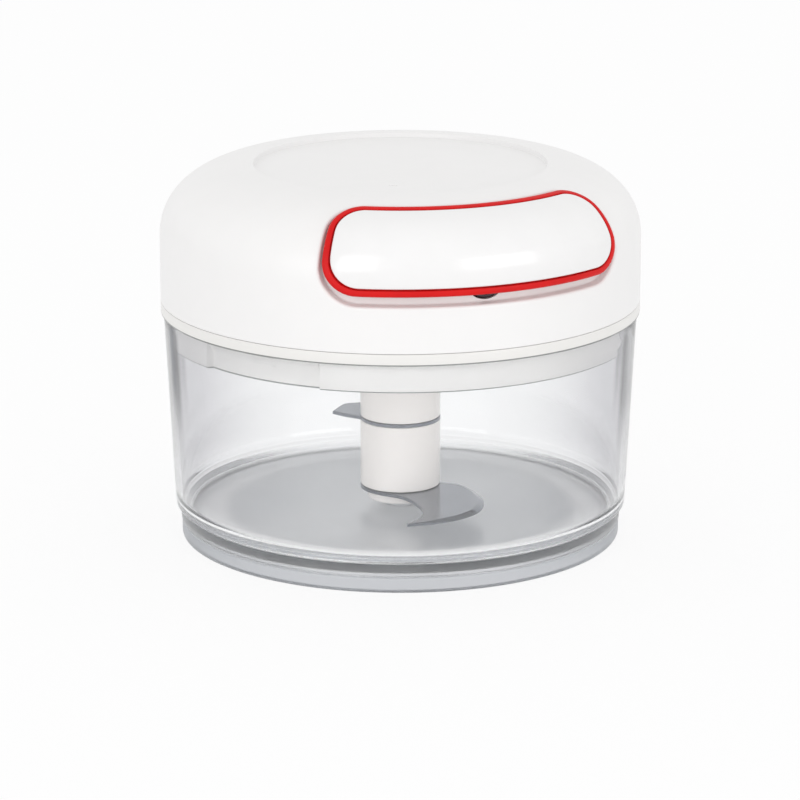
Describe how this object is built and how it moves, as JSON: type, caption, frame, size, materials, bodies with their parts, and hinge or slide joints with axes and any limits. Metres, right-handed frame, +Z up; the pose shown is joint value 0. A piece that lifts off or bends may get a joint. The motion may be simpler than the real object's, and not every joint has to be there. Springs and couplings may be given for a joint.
{
  "type": "pull-cord food chopper",
  "caption": "Round clear bowl with a sickle blade column under a domed white lid, whose bowed red-rimmed handle pulls a cord that spins the blades.",
  "frame": {"origin": "centre of the foot, on the surface that the bowl stands on", "axes": "+Z up along the blade column's axis; the handle is pulled along -Y"},
  "size_m": [0.13, 0.1314, 0.1025],
  "materials": {
    "clear_plastic": "clear, polished",
    "soft_clear": "clear, slightly foggy",
    "steel": "bright",
    "white_plastic": "fine satin",
    "white_gloss": "gloss",
    "soft_white": "matt",
    "red_soft": "satin",
    "dark_plastic": "satin",
    "grey_plastic": "satin",
    "natural_plastic": "satin",
    "cord": "braided"
  },
  "bodies": {
    "bowl": {"bowl": "clear_plastic", "non_slip_ring": "soft_clear", "pivot_pin": "steel"},
    "seal": {"lid_seal": "soft_white"},
    "lid": {"lid_cover": "white_plastic", "lid_base": "white_plastic", "cord_eyelet": "dark_plastic", "spindle_bush": "natural_plastic", "reel_axle": "steel", "spring_housing": "natural_plastic", "spring_plate": "steel", "power_spring": "steel", "lid_screw_1": "steel", "lid_screw_2": "steel", "lid_screw_3": "steel", "cord_run": "cord"},
    "reel": {"reel": "grey_plastic", "cord_winding": "cord"},
    "pawl_1": {"clutch_pawl_1": "grey_plastic"},
    "pawl_2": {"clutch_pawl_2": "grey_plastic"},
    "spindle": {"drive_spindle": "grey_plastic", "spindle_clip": "steel"},
    "blades": {"blade_core": "natural_plastic", "blade_hub": "white_gloss", "blade_upper": "steel", "blade_spacer": "white_gloss", "blade_lower": "steel", "blade_foot": "white_gloss"},
    "handle": {"handle_face": "white_gloss", "handle_rim": "red_soft", "handle_back": "white_plastic", "cord_knot": "cord", "cord_lead": "cord"}
  },
  "joints": [
    {"name": "lid_lift", "type": "slide", "parent": "bowl", "child": "seal", "axis": [0, 0, 1], "range_m": [0, 0.12]},
    {"name": "lid_twist", "type": "hinge", "parent": "seal", "child": "lid", "pos_m": [0, 0, 0.0626], "axis": [0, 0, 1], "range_deg": [-10, 10]},
    {"name": "handle_pull", "type": "slide", "parent": "lid", "child": "handle", "axis": [0, -1, 0], "range_m": [0, 0.4], "stiffness_N_per_m": 15, "springref_m": -0.2, "deforming": ["cord_lead"]},
    {"name": "reel_spin", "type": "hinge", "parent": "lid", "child": "reel", "pos_m": [0, 0, 0.083], "axis": [0, 0, 1], "range_deg": [0, 1420], "deforming": ["power_spring"]},
    {"name": "spindle_spin", "type": "hinge", "parent": "lid", "child": "spindle", "pos_m": [0, 0, 0.06], "axis": [0, 0, 1], "range_deg": [0, 1420]},
    {"name": "blade_spin", "type": "hinge", "parent": "bowl", "child": "blades", "pos_m": [0, 0, 0.02], "axis": [0, 0, 1], "range_deg": [0, 1420]},
    {"name": "pawl_1_swing", "type": "hinge", "parent": "reel", "child": "pawl_1", "pos_m": [0.01379, -0.01077, 0.0702], "axis": [0, 0, -1], "range_deg": [0, 11], "stiffness_Nm_per_rad": 0.0002, "springref_deg": -28.65},
    {"name": "pawl_2_swing", "type": "hinge", "parent": "reel", "child": "pawl_2", "pos_m": [-0.01379, 0.01077, 0.0702], "axis": [0, 0, -1], "range_deg": [0, 11], "stiffness_Nm_per_rad": 0.0002, "springref_deg": -28.65}
  ],
  "couplings": [
    {"joint": "reel_spin", "follows": "handle_pull", "rad_per_m": 55.866},
    {"joint": "spindle_spin", "follows": "handle_pull", "rad_per_m": 55.866},
    {"joint": "blade_spin", "follows": "handle_pull", "rad_per_m": 55.866}
  ]
}
